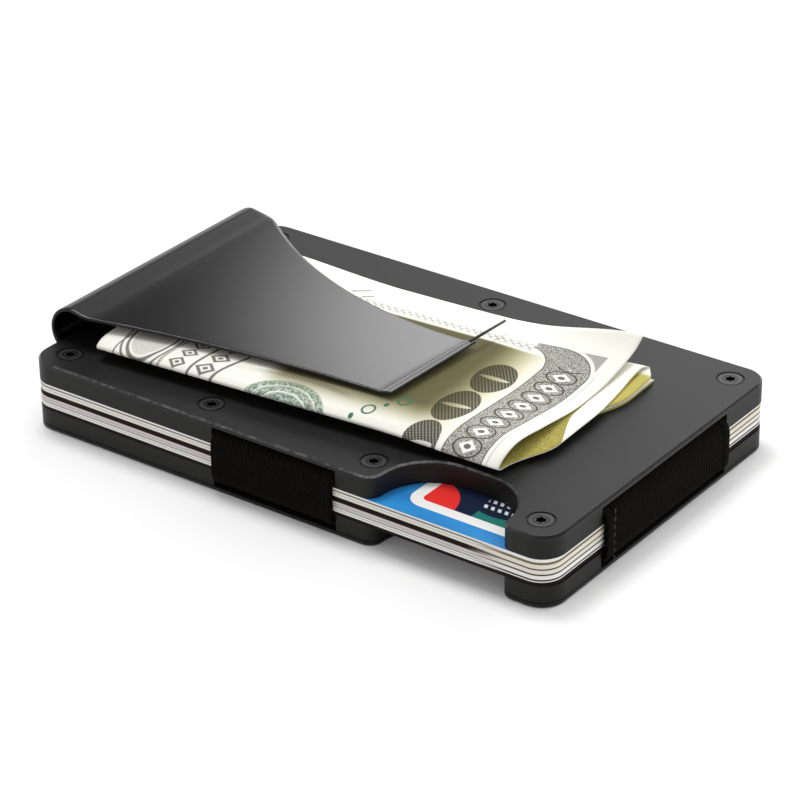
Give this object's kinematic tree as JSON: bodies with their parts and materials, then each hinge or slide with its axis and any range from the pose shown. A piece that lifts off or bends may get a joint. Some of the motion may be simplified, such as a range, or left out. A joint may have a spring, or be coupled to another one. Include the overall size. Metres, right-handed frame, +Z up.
{
  "type": "minimalist wallet",
  "caption": "Minimalist metal wallet: screwed plates drawn together by elastic bands round a card stack, with a thumb notch and a sprung money clip over a folded banknote.",
  "frame": {"origin": "centre of the lower cover's underside, on the surface that the wallet rests on", "axes": "+X along the long side towards the short end with the elastic band, +Y away from the thumb notch, +Z up through the card stack to the money clip"},
  "size_m": [0.0885, 0.0558, 0.0156],
  "materials": {
    "cover_metal": "black anodised, satin, bead blasted",
    "frame_metal": "black anodised, satin, milled edge",
    "screw_steel": "black oxide, satin",
    "elastic": "woven ribbed elastic, matte black",
    "clip_steel": "black coated spring steel, semi-gloss",
    "note_paper": null,
    "card_blue": "laminated card, gloss, blue face",
    "card_cream": "laminated card, gloss, cream",
    "card_dark": "laminated card, gloss, black with dark red edge line",
    "card_grey": "laminated card, gloss, pale grey",
    "card_white": "laminated card, gloss, white"
  },
  "bodies": {
    "lower_half": {"lower_cover": "cover_metal", "lower_frame": "frame_metal", "cross_band": "elastic", "end_band": "elastic", "lower_screw_1": "screw_steel", "lower_screw_2": "screw_steel", "lower_screw_3": "screw_steel", "lower_screw_4": "screw_steel", "lower_screw_5": "screw_steel", "lower_screw_6": "screw_steel", "lower_screw_7": "screw_steel"},
    "upper_half": {"upper_cover": "cover_metal", "upper_frame": "frame_metal", "clip_tang": "clip_steel", "upper_screw_1": "screw_steel", "upper_screw_2": "screw_steel", "upper_screw_3": "screw_steel", "upper_screw_4": "screw_steel", "upper_screw_5": "screw_steel", "upper_screw_6": "screw_steel", "upper_screw_7": "screw_steel"},
    "money_clip": {"clip_blade": "clip_steel"},
    "banknote": {"banknote": "note_paper"},
    "card_1": {"card_1": "card_blue"},
    "card_2": {"card_2": "card_cream"},
    "card_3": {"card_3": "card_dark"},
    "card_4": {"card_4": "card_grey"},
    "card_5": {"card_5": "card_white"}
  },
  "joints": [
    {"name": "halves_spread", "type": "slide", "parent": "lower_half", "child": "upper_half", "axis": [0, 0, 1], "range_m": [0, 0.005], "stiffness_N_per_m": 600, "springref_m": -0.004, "deforming": ["cross_band", "end_band"]},
    {"name": "clip_lift", "type": "hinge", "parent": "upper_half", "child": "money_clip", "pos_m": [-0.0441, 0, 0.01063], "axis": [0, -1, 0], "range_deg": [0, 6], "stiffness_Nm_per_rad": 2, "springref_deg": -2.86},
    {"name": "note_slide", "type": "slide", "parent": "upper_half", "child": "banknote", "axis": [1, 0, 0], "range_m": [0, 0.05]},
    {"name": "card_1_slide", "type": "slide", "parent": "lower_half", "child": "card_1", "axis": [-1, 0, 0], "range_m": [0, 0.06]},
    {"name": "card_2_slide", "type": "slide", "parent": "lower_half", "child": "card_2", "axis": [-1, 0, 0], "range_m": [0, 0.06]},
    {"name": "card_3_slide", "type": "slide", "parent": "lower_half", "child": "card_3", "axis": [-1, 0, 0], "range_m": [0, 0.06]},
    {"name": "card_4_slide", "type": "slide", "parent": "lower_half", "child": "card_4", "axis": [-1, 0, 0], "range_m": [0, 0.06]},
    {"name": "card_5_slide", "type": "slide", "parent": "lower_half", "child": "card_5", "axis": [-1, 0, 0], "range_m": [0, 0.06]}
  ]
}
